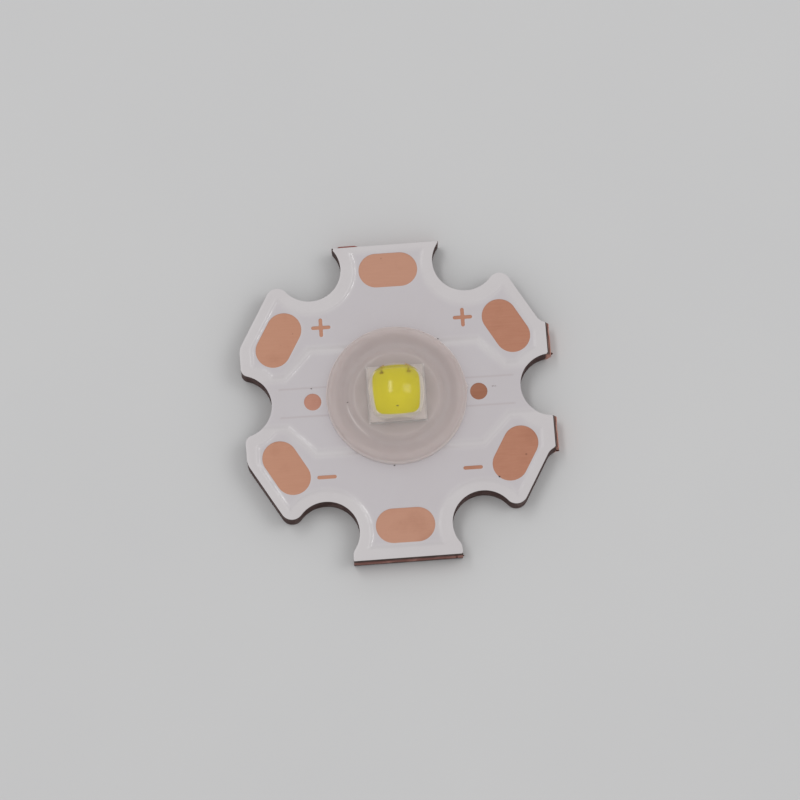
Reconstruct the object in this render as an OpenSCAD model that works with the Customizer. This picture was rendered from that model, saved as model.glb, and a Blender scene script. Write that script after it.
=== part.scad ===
// High-power light-emitting diode soldered to a copper-cored star board.
// Millimetres, +Z up. The origin is on the underside of the board, below the middle of the emitter.
// The upper solder pads (+Y) are positive, and the lower ones (-Y) are negative.

/* [Star board] */
// Across the routed flats of the star
star_af = 20; // [18:0.1:30]
// Thickness of the copper core
core_t = 1.3; // [0.8:0.05:3]
// Thickness of the insulating layer on the core
dielectric_t = 0.1; // [0.06:0.01:0.2]
// Thickness of the copper foil
foil_t = 0.07; // [0.035:0.005:0.14]
// Thickness of the white solder mask
mask_t = 0.03; // [0.015:0.005:0.06]
// Radius of the routed corners between a flat and a notch
corner_r = 0.7; // [0.2:0.05:1.2]
// How far the cut outline sits off the foil pattern, to the right
route_dx = -0.02; // [-0.2:0.01:0.2]
// How far the cut outline sits off the foil pattern, upwards
route_dy = 0.09; // [-0.2:0.01:0.2]
// How far the cut outline is turned on the foil pattern, to the left
route_turn = 0.39; // [-1:0.01:1]

/* [Screw notches] */
// Radius of the six half-round notches
notch_r = 1.98; // [1.5:0.02:2.6]
// How far a notch's centre lies inside the flats' distance
notch_in = 0.34; // [0:0.01:1]

/* [Panel edges] */
// How far the straight sides of the top and bottom arms stand out past the notches' waist
arm_side_out = 0.49; // [0.2:0.005:0.6]
// How far the top score line lies inside the flats' distance
score_top_in = 0.33; // [0:0.01:0.6]
// How far the bottom score line lies outside the flats' distance
score_bottom_out = 0.23; // [0:0.01:0.6]
// Depth of the score cut on each face of the board
score_depth = 0.45; // [0.2:0.05:0.6]
// How far the broken web stands out past a score cut's edge
score_w = 0.06; // [0.02:0.01:0.3]
// How far the right-hand tabs' cut lies inside the flats' distance
tab_in = 0.52; // [0.3:0.01:1]
// How far the broken web stands out past the tabs' cut
tab_web_w = 0.28; // [0.05:0.01:0.4]
// Where a tab's router fillet starts, from the middle of its flat
tab_start = 0.7; // [0.3:0.05:1.5]
// Radius of the router fillet beside a tab
tab_fillet_r = 0.9; // [0.4:0.05:1.5]
// How far the left-hand edge lies inside the flats' distance
left_in = 0.56; // [0.3:0.01:1]
// Radius where the left-hand edge turns into a flat
left_flat_r = 1.2; // [0.4:0.05:2]
// Radius where the left-hand edge turns into its notch
left_notch_r = 0.5; // [0.2:0.05:0.8]

/* [Foil pattern] */
// Live foil pulled back from the flats
foil_from_flat = 0.7; // [0.3:0.05:1.2]
// Live foil pulled back from the notches
foil_from_notch = 0.86; // [0.3:0.02:1.2]
// Live foil pulled back from the left-hand edge, and as far from the middle on the right
foil_from_edge = 0.8; // [0.3:0.05:1.2]
// Bare gap between the heat island and the live foil
foil_gap = 0.5; // [0.2:0.05:1]
// Width of the heat island's straight top and bottom edges
island_w = 10.1; // [8:0.1:12]
// Height of the heat island
island_h = 6.06; // [5:0.02:7]
// How far the heat island's arms stop short of the notches
island_from_notch = 0.3; // [0.2:0.02:1.2]
// Height of the heat island's two arms
arm_h = 2.68; // [2:0.02:4]
// How far the live foil's necks reach past the ends of the package's live pads
neck_side_lap = 0.1; // [0.05:0.01:0.3]
// How far the live foil's necks reach past the inner sides of the package's live pads
neck_lap = 0.05; // [0.03:0.01:0.15]
// Bare gap between a neck and the heat island's bar below the emitter
neck_gap = 0.2; // [0.15:0.01:0.3]
// How far the core's raised heat bar stays inside the sides of the island's bar
pedestal_in = 0; // [0:0.01:0.3]
// How far the raised heat bar stops short of the island's ends
pedestal_short = 0.1; // [0.05:0.05:1]

/* [Solder pads] */
// Width of a solder pad's opening in the mask
pad_w = 2.17; // [1:0.01:2.5]
// How far the mask laps over the foil along a pad's outer side
pad_lap = 0.085; // [0.03:0.005:0.4]
// How far the mask laps over the foil at a pad's ends
pad_end_lap = 0.17; // [0.03:0.01:0.4]
// Diameter of the two bare dots
dot_d = 1.07; // [0.6:0.01:1.5]
// How far a dot's centre lies inside a notch's lowest point
dot_in = 2.55; // [1.5:0.05:3.5]

/* [Emitter package] */
// Side of the square ceramic package
package_w = 3.45; // [2.85:0.05:4.2]
// Thickness of the ceramic
ceramic_t = 0.77; // [0.4:0.01:1.2]
// How far the pads under the package stay inside its sides
land_in = 0.075; // [0.02:0.005:0.2]
// Width of the two live pads
live_land_w = 0.5; // [0.3:0.05:0.6]
// How far the heat pad stays inside the sides of the island's bar
heat_land_in = 0.25; // [0.05:0.01:0.3]
// Thickness of the pads under the package
land_t = 0.03; // [0.01:0.01:0.06]
// Thickness of the soldered joints
solder_t = 0.05; // [0.03:0.01:0.1]
// Diameter of the filled vias through the ceramic
via_d = 0.18; // [0.1:0.01:0.24]
// Thickness of the links buried half way up the ceramic
link_t = 0.06; // [0.03:0.01:0.1]
// How far inside the chip's lower edge the links' vias come up
link_in = 0.3; // [0.1:0.01:0.6]

/* [Chip] */
// Side of the square chip
die_w = 2.25; // [1.5:0.05:2.4]
// How far the chip sits off the package's middle, upwards
die_dy = 0; // [-0.1:0.02:0.1]
// Thickness of the chip
die_t = 0.12; // [0.08:0.01:0.2]
// Thickness of the solder film under the chip
attach_t = 0.03; // [0.01:0.01:0.06]
// Thickness of the phosphor on the chip
phosphor_t = 0.07; // [0.03:0.01:0.15]
// From the chip's middle line to a bond corner
bond_x = 0.62; // [0.3:0.005:0.9]
// Width of the phosphor's notch at a bond corner
bond_w = 0.24; // [0.15:0.01:0.4]
// Depth of the phosphor's notch at a bond corner
bond_l = 0.26; // [0.15:0.01:0.4]
// Diameter of a bond wire
wire_d = 0.04; // [0.02:0.005:0.06]
// Diameter of the squashed ball where a wire starts
ball_d = 0.1; // [0.06:0.01:0.16]
// Height of that ball
ball_h = 0.03; // [0.02:0.005:0.05]
// Length and width of a gilt wire pad on the ceramic
wire_pad_w = 0.26; // [0.15:0.01:0.32]
// Thickness of a gilt wire pad
wire_pad_t = 0.02; // [0.01:0.005:0.04]

/* [Dome] */
// How far the dome's round runs past the package's sides, where it is cut off flush
dome_out = 0.075; // [-0.2:0.005:0.2]
// Thickness of the silicone film that covers the rest of the package
film_t = 0.06; // [0.03:0.01:0.15]

/* [Centring ring] */
// Outside diameter of the ring
ring_d = 8.66; // [7:0.02:10]
// Height of the ring's rim
rim_h = 0.75; // [0.5:0.05:1.5]
// Width of the rim's slope and top together
rim_w = 0.58; // [0.3:0.02:1]
// Width of the slope from the rim down to the dish
rim_slope_w = 0.22; // [0.1:0.02:0.5]
// Height of the dish's floor
dish_h = 0.5; // [0.3:0.05:1]
// From the window's corners to the step between the dish and the well round the emitter
well_out = 0.425; // [0.2:0.005:0.6]
// Height of the well's floor
well_h = 0.34; // [0.2:0.02:0.8]
// Radius on the ring's outer edges
rim_r = 0.14; // [0.05:0.01:0.25]
// Radius on the edge of the well
well_r = 0.12; // [0.05:0.01:0.2]
// Clearance between the package and the ring's square window, each side
window_gap = 0.06; // [0.03:0.01:0.15]
// Diameter of the moulding gate's stub on the ring's edge
gate_d = 0.5; // [0.3:0.05:0.8]
// How far the gate's stub stands out
gate_out = 0.14; // [0.05:0.01:0.3]
// Direction of the gate's stub
gate_turn = 5; // [-180:1:180]

/* [Hidden] */
$fn = 96;

// heights from the underside of the board
dielectric_z = core_t;
foil_z = dielectric_z + dielectric_t;
joint_z = foil_z + foil_t;
mask_top = joint_z + mask_t;
land_z = joint_z + solder_t;
ceramic_z = land_z + land_t;
ceramic_top = ceramic_z + ceramic_t;
die_z = ceramic_top + attach_t;
die_top = die_z + die_t;
wire_pad_top = ceramic_top + wire_pad_t;
film_top = ceramic_top + film_t;

// distances from the middle of the board
flat_d = star_af / 2;
notch_c = flat_d - notch_in;
arm_half = notch_c * sin(30) - notch_r + arm_side_out;
pad_c = flat_d - foil_from_flat - pad_lap - pad_w / 2;
pad_l = 2 * (notch_c * sin(30) - notch_r - foil_from_notch - pad_end_lap);
top_edge = flat_d - score_top_in;
bottom_edge = flat_d + score_bottom_out;
tab_edge = flat_d - tab_in;
left_edge = flat_d - left_in;
dot_c = notch_c - notch_r - dot_in;
island_end = notch_c - notch_r - island_from_notch;
live_end = left_edge - foil_from_edge;

// the pads under the package and the foil that meets them
land_l = package_w - 2 * land_in;
land_pitch = package_w / 2 - land_in - live_land_w / 2;
neck_w = land_l + 2 * neck_side_lap;
neck_inner = land_pitch - live_land_w / 2 - neck_lap;
bar_h = 2 * (neck_inner - neck_gap);
heat_land_w = bar_h - 2 * heat_land_in;
pedestal_w = bar_h - 2 * pedestal_in;

// the chip's upper edge, the bond corners, and the wire pads half way to the package's side
die_edge = die_dy + die_w / 2;
bond_y = die_edge - bond_l / 2;
wire_pad_y = (die_edge + package_w / 2) / 2;
link_y = die_dy - die_w / 2 + link_in;
link_z = ceramic_z + ceramic_t / 2;

// the dome and the ring's square window and well
dome_d = package_w + 2 * dome_out;
window_w = package_w + 2 * window_gap;
well_radius = window_w / sqrt(2) + well_out;

// sizes that only have to be large enough
far = 2 * star_af;
over = 0.5;
// how far an arc runs into the edges that it joins, so that they always meet
arc_lap = 0.002;

copper_colour = [0.72, 0.49, 0.39];
bare_copper_colour = [0.78, 0.56, 0.46];
dielectric_colour = [0.25, 0.22, 0.18];
mask_colour = [0.86, 0.85, 0.86];
solder_colour = [0.72, 0.73, 0.75];
gilt_colour = [0.83, 0.68, 0.36];
ceramic_colour = [0.90, 0.88, 0.87];
chip_colour = [0.35, 0.30, 0.25];
phosphor_colour = [0.80, 0.74, 0.15];
silicone_colour = [0.90, 0.92, 0.92, 0.35];
ring_colour = [0.68, 0.64, 0.63, 0.85];

// a point at a distance along a direction
function polar(d, turn) = [d * cos(turn), d * sin(turn)];

// where two lines meet, each given by its normal's direction and its distance from the middle
function meet(turn_a, d_a, turn_b, d_b) =
    let (s = sin(turn_b - turn_a))
    [(d_a * sin(turn_b) - d_b * sin(turn_a)) / s, (d_b * cos(turn_a) - d_a * cos(turn_b)) / s];

// what an arc of radius r round c cuts off: the part outside it of a polygon that reaches past the corner
module past_arc(points, c, r) {
    difference() {
        polygon(points);
        translate(c) circle(r);
    }
}

// the sharp tip between two straight edges, outside the radius r
module line_tip(turn_a, d_a, turn_b, d_b, r) {
    c = meet(turn_a, d_a - r + arc_lap, turn_b, d_b - r + arc_lap);
    past = meet(turn_a, d_a + over, turn_b, d_b + over);
    past_arc([c, c + polar(r + over, turn_a), past, c + polar(r + over, turn_b)], c, r);
}

// the sharp tip between a straight edge and the notch on its side (1 or -1), outside the radius r
module notch_tip(turn, d, notch_turn, side, r) {
    n = polar(notch_c, notch_turn - turn);
    x = d - r + arc_lap;
    reach = notch_r + r - arc_lap;
    c = [x, n[1] - side * sqrt(reach * reach - pow(x - n[0], 2))];
    out = max(d, n[0]) + over;
    rotate(turn) past_arc([c, [out, c[1]], [out, n[1]], n], c, r);
}

// a hexagon with flats facing up and down
module hexagon(d) {
    circle(r = d / cos(30), $fn = 6);
}

// the six notches, as discs with a mouth that stays open past the hexagon's corners
module notch_discs(r) {
    mouth = r / sqrt(2);
    for (turn = [0:60:300])
        rotate(turn) translate([notch_c, 0]) {
            circle(r);
            translate([0, -mouth]) square([far, 2 * mouth]);
        }
}

// the strip beside a right-hand flat that the router left for a tab; side is 1 above and -1 below
module tab_strip(side) {
    rotate(side * 30) {
        difference() {
            translate([flat_d - over, side > 0 ? -tab_start - 2 * tab_fillet_r : tab_start])
                square([over + tab_fillet_r, 2 * tab_fillet_r]);
            translate([flat_d + tab_fillet_r - arc_lap, -side * tab_start]) circle(tab_fillet_r);
        }
    }
}

// the star's outline out to the broken webs, before the score cuts
module star_outline() {
    difference() {
        intersection() {
            union() {
                hexagon(flat_d);
                for (side = [-1, 1])
                    tab_strip(side);
                // the top and bottom arms run out past the hexagon to their score lines
                square([2 * arm_half, 2 * (bottom_edge + over)], center = true);
            }
            translate([-left_edge, -far]) square([far, 2 * far]);
        }
        notch_discs(notch_r);
        // the straight sides of the top and bottom arms, and the bend from each into its notch
        for (side = [0, 1], end = [0, 1])
            mirror([side, 0]) mirror([0, end]) {
                translate([arm_half, notch_c * cos(30)])
                    square([notch_c * sin(30) - arm_half, far]);
                notch_tip(0, arm_half, 60, -1, corner_r);
            }
        // routed corners at the four slanted flats' upper and lower ends
        for (end = [[30, 60, 1], [150, 120, -1], [210, 240, 1], [330, 300, -1]])
            notch_tip(end[0], flat_d, end[1], end[2], corner_r);
        // the left-hand edge's corners
        for (side = [-1, 1]) {
            notch_tip(180, left_edge, 180, side, left_notch_r);
            line_tip(180, left_edge, 180 - side * 30, flat_d, left_flat_r);
        }
    }
}

// the section of a scored edge: in at both faces, out at the web
module score_section(edge, web_w) {
    polygon([
        [-far, 0], [edge, 0], [edge + web_w, score_depth],
        [edge + web_w, mask_top - score_depth], [edge, mask_top], [-far, mask_top]
    ]);
}

// a block across the board that ends in a scored edge facing the given direction
module scored_block(turn, edge, web_w) {
    rotate(turn - 90)
        rotate([90, 0, 90])
            translate([0, 0, -far]) linear_extrude(2 * far) score_section(edge, web_w);
}

// one layer of the board, from z up by t, with all its routed and scored edges
module board_layer(z, t) {
    translate([route_dx, route_dy, 0])
        rotate(route_turn)
            intersection() {
                translate([0, 0, z]) linear_extrude(t) star_outline();
                scored_block(90, top_edge, score_w);
                scored_block(270, bottom_edge, score_w);
                scored_block(0, tab_edge, tab_web_w);
            }
}

// the heat island's outline with its arms run out past the notches, grown by g
module island_field(g) {
    step = g * tan(22.5);
    half_w = island_w / 2 + step;
    arm_x = half_w + (island_h - arm_h) / 2;
    polygon([
        for (s = [[1, 1], [-1, 1], [-1, -1], [1, -1]], p = s[0] == s[1] ? [2, 1, 0] : [0, 1, 2])
            let (x = [half_w, arm_x, arm_x + far][p], y = (p == 0 ? island_h : arm_h) / 2 + g)
            [s[0] * x, s[1] * y]
    ]);
}

// a live foil's neck down to its pad under the emitter, grown by g
module neck_field(g) {
    translate([-neck_w / 2 - g, neck_inner - g])
        square([neck_w + 2 * g, island_h / 2 + foil_gap + over - neck_inner + g]);
}

// the upper live foil's outline, grown by g
module live_outline(g) {
    difference() {
        union() {
            difference() {
                intersection() {
                    hexagon(flat_d - foil_from_flat + g);
                    square([2 * (live_end + g), 2 * far], center = true);
                }
                island_field(foil_gap - g);
                translate([-far, -2 * far]) square([2 * far, 2 * far]);
            }
            neck_field(g);
        }
        notch_discs(notch_r + foil_from_notch - g);
    }
}

// the heat island's outline, grown by g
module island_outline(g) {
    difference() {
        intersection() {
            island_field(g);
            square([2 * (island_end + g), 2 * far], center = true);
        }
        for (side = [0, 1])
            mirror([0, side]) neck_field(neck_gap - g);
    }
}

// all the foil, grown by g
module foil_outline(g) {
    island_outline(g);
    for (side = [0, 1])
        mirror([0, side]) live_outline(g);
}

// the raised heat bar's outline
module pedestal_outline() {
    square([2 * (island_end - pedestal_short), pedestal_w], center = true);
}

// a stadium: a bar with round ends, lying along X
module stadium(l, w) {
    square([l - w, w], center = true);
    for (side = [-1, 1])
        translate([side * (l - w) / 2, 0]) circle(w / 2);
}

// the three pads' outlines under the emitter: heat pad 0, upper live pad 1, lower live pad -1
module land_outline(which) {
    w = which == 0 ? heat_land_w : live_land_w;
    translate([0, which * land_pitch]) square([land_l, w], center = true);
}

// everything left bare by the mask
module mask_openings() {
    for (turn = [30:60:330])
        rotate(turn - 90) translate([0, pad_c]) stadium(pad_l, pad_w);
    for (side = [-1, 1])
        translate([side * dot_c, 0]) circle(dot_d / 2);
    for (which = [-1:1])
        land_outline(which);
}

// a square block on the package's middle line
module block(w, z, t, dy = 0) {
    translate([-w / 2, dy - w / 2, z]) cube([w, w, t]);
}

module copper_base() {
    color(copper_colour) {
        board_layer(0, core_t);
        translate([0, 0, core_t / 2]) linear_extrude(core_t / 2 + dielectric_t) pedestal_outline();
    }
}

module dielectric_layer() {
    color(dielectric_colour)
        difference() {
            board_layer(dielectric_z, dielectric_t);
            translate([0, 0, dielectric_z - over])
                linear_extrude(dielectric_t + 2 * over) pedestal_outline();
        }
}

module positive_trace() {
    color(bare_copper_colour)
        translate([0, 0, foil_z]) linear_extrude(foil_t) live_outline(0);
}

module negative_trace() {
    color(bare_copper_colour)
        translate([0, 0, foil_z]) linear_extrude(foil_t) mirror([0, 1]) live_outline(0);
}

module thermal_island() {
    color(bare_copper_colour)
        translate([0, 0, foil_z]) linear_extrude(foil_t) island_outline(0);
}

// the mask lies on the bare board between the foils and steps up over their edges
module solder_mask() {
    color(mask_colour)
        difference() {
            union() {
                board_layer(foil_z, mask_t);
                intersection() {
                    board_layer(foil_z, foil_t + mask_t);
                    translate([0, 0, foil_z]) linear_extrude(foil_t + mask_t) foil_outline(mask_t);
                }
            }
            translate([0, 0, foil_z - over]) linear_extrude(foil_t + over) foil_outline(0);
            translate([0, 0, foil_z - over]) linear_extrude(foil_t + 2 * over) mask_openings();
        }
}

module solder_joint(which) {
    color(solder_colour)
        translate([0, 0, joint_z]) linear_extrude(solder_t) land_outline(which);
}

module anode_solder() {
    solder_joint(1);
}

module cathode_solder() {
    solder_joint(-1);
}

module thermal_solder() {
    solder_joint(0);
}

module led_pad(which) {
    color(gilt_colour)
        translate([0, 0, land_z]) linear_extrude(land_t) land_outline(which);
}

module led_anode_pad() {
    led_pad(1);
}

module led_cathode_pad() {
    led_pad(-1);
}

module led_thermal_pad() {
    led_pad(0);
}

module led_substrate() {
    color(ceramic_colour)
        difference() {
            block(package_w, ceramic_z, ceramic_t);
            anode_vias();
            cathode_links();
        }
}

// a filled via at one of the two places across the package, between two heights
module via(side, y, z, top) {
    translate([side * bond_x, y, z]) cylinder(d = via_d, h = top - z);
}

// from the wire pads straight down to the positive pad
module anode_vias() {
    color(bare_copper_colour)
        for (side = [-1, 1])
            via(side, wire_pad_y, ceramic_z, ceramic_top);
}

// from under the chip down to a buried link, out past the chip's lower edge, and down to the negative pad
module cathode_links() {
    color(bare_copper_colour)
        for (side = [-1, 1]) {
            via(side, link_y, link_z, ceramic_top);
            via(side, -land_pitch, ceramic_z, link_z);
            translate([side * bond_x, (link_y - land_pitch) / 2, link_z - link_t / 2])
                linear_extrude(link_t) rotate(90) stadium(link_y + land_pitch + 2 * via_d, 2 * via_d);
        }
}

module wire_pads() {
    color(gilt_colour)
        for (side = [-1, 1])
            translate([side * bond_x - wire_pad_w / 2, wire_pad_y - wire_pad_w / 2, ceramic_top])
                cube([wire_pad_w, wire_pad_w, wire_pad_t]);
}

module die_attach() {
    color(solder_colour) block(die_w, ceramic_top, attach_t, die_dy);
}

module led_die() {
    color(chip_colour) block(die_w, die_z, die_t, die_dy);
}

// the phosphor leaves the chip's two bond corners bare
module phosphor_layer() {
    color(phosphor_colour)
        difference() {
            block(die_w, die_top, phosphor_t, die_dy);
            for (side = [-1, 1])
                translate([side * bond_x - bond_w / 2, die_edge - bond_l, die_top - over])
                    cube([bond_w, bond_l + over, phosphor_t + 2 * over]);
        }
}

// each wire rises from its ball on the chip and comes down square on its pad, along one arc
module bond_wires() {
    drop = die_top - wire_pad_top;
    run = wire_pad_y - bond_y;
    arc_r = (run * run + drop * drop) / (2 * run);
    arc_y = wire_pad_y - arc_r;
    sweep = 180 - asin(drop / arc_r);
    color(gilt_colour)
        for (side = [-1, 1])
            translate([side * bond_x, 0, 0])
                difference() {
                    union() {
                        translate([0, arc_y, wire_pad_top])
                            rotate([90, 0, 90])
                                rotate_extrude(angle = sweep + 10) translate([arc_r, 0]) circle(wire_d / 2);
                        translate([0, bond_y, die_top]) cylinder(d = ball_d, h = ball_h);
                    }
                    translate([-over, bond_y - over, die_top - over]) cube([2 * over, over + run / 2, over]);
                }
}

// the dome is cast over the chip, its wires and the rest of the package
module dome_lens() {
    color(silicone_colour)
        difference() {
            intersection() {
                union() {
                    block(far, ceramic_top, film_t);
                    translate([0, 0, film_top]) sphere(d = dome_d);
                }
                block(package_w, ceramic_top, far);
            }
            block(die_w, ceramic_top - over, attach_t + die_t + over, die_dy);
            phosphor_layer();
            wire_pads();
            bond_wires();
        }
}

// the sharp tip of an upper corner that points right (1) or left (-1), outside the radius r
module square_tip(side, r) {
    c = [side * (arc_lap - r), arc_lap - r];
    past_arc([c, [c[0], over], [side * over, over], [side * over, c[1]]], c, r);
}

// half the ring's section, from the middle line out
module ring_section() {
    r = ring_d / 2;
    rim_in = r - rim_w;
    rim_top_in = rim_in + rim_slope_w;
    difference() {
        polygon([
            [0, 0], [r, 0], [r, rim_h], [rim_top_in, rim_h],
            [rim_in, dish_h], [well_radius, dish_h], [well_radius, well_h], [0, well_h]
        ]);
        translate([r, rim_h]) square_tip(1, rim_r);
        translate([well_radius, dish_h]) square_tip(-1, well_r);
    }
}

module centring_ring() {
    color(ring_colour)
        translate([0, 0, mask_top])
            difference() {
                union() {
                    rotate_extrude() ring_section();
                    rotate(gate_turn)
                        translate([ring_d / 2 + gate_out - gate_d / 2, 0, 0])
                            cylinder(d = gate_d, h = rim_h - 2 * rim_r);
                }
                block(window_w, -over, rim_h + 2 * over);
            }
}

copper_base();
dielectric_layer();
positive_trace();
negative_trace();
thermal_island();
solder_mask();
anode_solder();
cathode_solder();
thermal_solder();
led_anode_pad();
led_cathode_pad();
led_thermal_pad();
led_substrate();
anode_vias();
cathode_links();
wire_pads();
die_attach();
led_die();
phosphor_layer();
bond_wires();
dome_lens();
centring_ring();
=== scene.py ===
import bpy
import numpy as np
from mathutils import Matrix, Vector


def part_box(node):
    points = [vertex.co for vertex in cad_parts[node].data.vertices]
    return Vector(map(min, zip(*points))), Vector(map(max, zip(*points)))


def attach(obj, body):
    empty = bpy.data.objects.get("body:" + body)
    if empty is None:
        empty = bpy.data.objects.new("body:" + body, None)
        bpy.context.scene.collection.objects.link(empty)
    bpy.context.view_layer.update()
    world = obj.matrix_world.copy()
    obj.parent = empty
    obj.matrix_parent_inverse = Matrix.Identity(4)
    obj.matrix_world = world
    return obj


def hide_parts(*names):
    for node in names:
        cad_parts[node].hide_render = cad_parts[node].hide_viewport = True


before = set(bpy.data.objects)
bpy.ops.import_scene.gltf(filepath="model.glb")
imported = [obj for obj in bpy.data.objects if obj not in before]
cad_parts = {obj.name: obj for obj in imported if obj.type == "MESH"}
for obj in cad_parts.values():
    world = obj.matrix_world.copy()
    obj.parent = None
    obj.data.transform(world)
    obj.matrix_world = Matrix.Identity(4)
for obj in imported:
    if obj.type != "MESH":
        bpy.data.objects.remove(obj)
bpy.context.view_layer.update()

# Lengths are in millimetres and angles in degrees. Points become metres when a piece is made.
MM = 0.001


def span(node):
    """Lowest and highest corner of a node of the frame, in millimetres."""
    low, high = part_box(node)
    return np.array(low) / MM, np.array(high) / MM


# Heights and sizes that the frame gives
CORE_TOP = span("dielectric_layer")[0][2]
SHEET_TOP = span("dielectric_layer")[1][2]
FOIL_TOP = span("positive_trace")[1][2]
MASK_TOP = span("solder_mask")[1][2]
CERAMIC_TOP = span("led_substrate")[1][2]
HALF_PACKAGE = span("led_substrate")[1][0]
WIRE_PAD_TOP = span("wire_pads")[1][2]
CHIP_LOW, CHIP_HIGH = span("led_die")
GLOW_HIGH = span("phosphor_layer")[1]
DOME_TOP = span("dome_lens")[1][2]
RING_R = -span("centring_ring")[0][0]
RIM_TOP = span("centring_ring")[1][2]

# The star's routed outline
FLAT_D = 10.0  # from the middle to each flat
NOTCH_C = 9.66  # from the middle to the centre of each screw notch
NOTCH_R = 1.98
CORNER_R = 0.7  # lips between the notches and the flats
ARM_HALF = 3.34  # half the width of the top and bottom arms
ROUTE_SHIFT = np.array([-0.02, 0.09])  # the routing's offset and turn against the printed pattern
ROUTE_TURN = 0.39
TAB_START = 0.7  # where along a slanted flat the fillet of a right-hand tab begins
TAB_FILLET_R = 0.9
LEFT_EDGE = 9.44  # from the middle to the left-hand edges
LEFT_FLAT_R = 1.2  # rounding between them and the flats
LEFT_NOTCH_R = 0.5  # rounding between them and the notch

# Its scored edges
TOP_EDGE = 9.67
BOTTOM_EDGE = 10.23
TAB_EDGE = 9.48
SCORE_DEPTH = 0.45  # of the scores in either face
SCORE_W = 0.06  # how far the snapped web stands out at mid height
TAB_WEB_W = 0.28  # the same on the tabs
SCORE_RIDGE = 1.2  # height of the dark line along the tabs

# Foil pattern under the lacquer
FOIL_D = 9.3  # from the middle to the foil's slanted edges
FOIL_NOTCH_R = 2.84  # foil kept clear of each notch's centre
LIVE_END = 8.64  # half the width of the live foils
FOIL_GAP = 0.5  # between the live foils and the heat island
ISLAND_HALF_W = 5.05  # the island: a block with slanted corners, and an arm to either side
ISLAND_HALF_H = 3.03
ISLAND_ARM_HALF = 1.34
ISLAND_END = 9.0
NECK_HALF_W = 1.75  # necks of live foil that reach in to the solder lands
NECK_INNER = 1.1
NECK_GAP = 0.2
HEAT_BAR_HALF = np.array([7.28, 0.9])  # half the length and half the width of the core's heat bar

# Openings in the lacquer
PAD_C = 8.13  # from the middle to the centre of each solder pad
PAD_L = 3.64
PAD_W = 2.17
DOT_D = 1.07
DOT_PLACES = ((-5.18, 0.0), (5.07, 0.0))
PLUS_PLACES = ((-4.38, 4.70), (4.40, 4.78))
MINUS_PLACES = ((-4.60, -4.80), (4.38, -4.80))
SIGN_L = 1.2
SIGN_W = 0.23
LAND_L = 3.3  # solder lands under the package
LAND_PITCH = 1.4
LIVE_LAND_W = 0.5
HEAT_LAND_W = 1.3

# The lacquer's relief
LACQUER_T = MASK_TOP - FOIL_TOP
STEP_W = 0.16  # slope beside the foil
TONE_W = 0.5  # change of tone there
BRINK_W = 0.12  # glossy brink of the slope
GLOSS_FROM = -1.0  # the brinks lose their gloss from here to the right
GLOSS_FADE = 3.0
GLOSS_LOSS = 0.85
EDGE_W = 0.1  # thinning at the lacquer's own edges
EDGE_DROP = 0.012
GROOVE_DEEP = 0.009  # dip along the heat bar's edges
GROOVE_W = 0.05
CELL = 0.1  # cells of the grid
SNAP = 0.25  # grid corners within this share of a cell from an edge move on to it
LEAST_STEEP = 0.2  # keeps those moves short where the edge's slope is faint

# Phosphor and wires
GLOW_HALF = 1.15  # half the side of the yellow
GLOW_CORNER_R = 0.35
SKIRT_W = 0.17  # from the chip's edge out
SKIRT_EDGE_T = 0.01
SKIRT_TONE_W = 0.05
GLOW_LINES = 96
GLOW_MARGIN = 0.03  # grid past the skirt
BOND_X = 0.64  # bonds on the chip, and the holes in the phosphor over them
BOND_W = 0.22
BOND_L = 0.12
BOND_IN = 0.17  # in from the chip's upper edge
WIRE_R = 0.02
BALL_R = 0.045
BALL_H = 0.035
BALL_TOP_SHARE = 0.9  # how far up a whole ball its flat top lies
STITCH_SWEEP = 0.5  # pressed stretch of the wire's arc, in radians
STITCH_THINNED = 0.6  # share of its thickness that it loses there

# Dome, on a film whose underside is sunk a little in the ceramic
DOME_R = 1.95
DOME_CORNER_R = 0.05  # sawn corners
CLOSE_ROWS_TO = 28  # rows of points lie closer below this height on the sphere
LAST_ROW = 89.6
FILM_T = 0.06
FILM_ROUND = 0.01
FILM_IN = 0.05
FILM_SUNK = 0.02
SAWN_IN = 0.004  # how far in the film's top edge lies

# Ring: rim, dish, fine ridge in the dish, and collar round the window; heights are above the lacquer
WINDOW_CORNER_R = 0.03
FOOT = 0.03  # bevel along its lower edge
RIM_IN = 3.2  # lower and upper end of the slope from the rim to the dish
RIM_TOP_IN = 3.95
RIM_ROUND = 0.3
DISH_H = 0.5
RIDGE_R = 3.1
RIDGE_W = 0.14
RIDGE_H = 0.014
RIDGE_FROM = 184  # directions between which the ridge runs
RIDGE_TO = 236
COLLAR_IN = 2.55
COLLAR_OUT = 3.0
COLLAR_H = 0.63
GATE_TURN = 5.0  # the moulding gate's stub: its direction, length and half its width as an angle
GATE_OUT = 0.14
GATE_HALF = 5.0
GATE_SHARES = (1.0, 0.6, 0.2)  # how much of it is left at three heights
GATE_TOP = 1.2  # its upper end, in rim roundings below the rim's top

# Limits between which one tone passes into another
HALF_WEB = MASK_TOP / 2 - SCORE_DEPTH
FOIL_TONE = (-8.0, 8.0)  # from left to right
ARM_TONE = (5.5, 7.5)  # up and down from the middle
WEB_TONE = (HALF_WEB + 0.04, HALF_WEB - 0.04)  # from mid height
# where the tabs' painted light begins and ends, along x
TAB_PAINTED_LIGHT = (TAB_EDGE - 0.2, TAB_EDGE - 0.1)
RIDGE_LINE = (0.03, 0.06)  # from the line's own height
BURR_TONE = (TOP_EDGE + 0.12, TOP_EDGE + 0.16)
DISH_TONE = (2.2, 3.2)  # these three from the ring's axis
# the rim's painted shade
RIM_PAINTED_SHADE = (3.4, 4.0)
# the outer wall's painted light
WALL_PAINTED_LIGHT = (4.24, 4.36)
# the painted light beside the package, from its square's side
BESIDE_PAINTED_LIGHT = (HALF_PACKAGE + 0.1, HALF_PACKAGE)
SAWN_TONE = (HALF_PACKAGE - 0.015, HALF_PACKAGE - 0.008)


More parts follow.
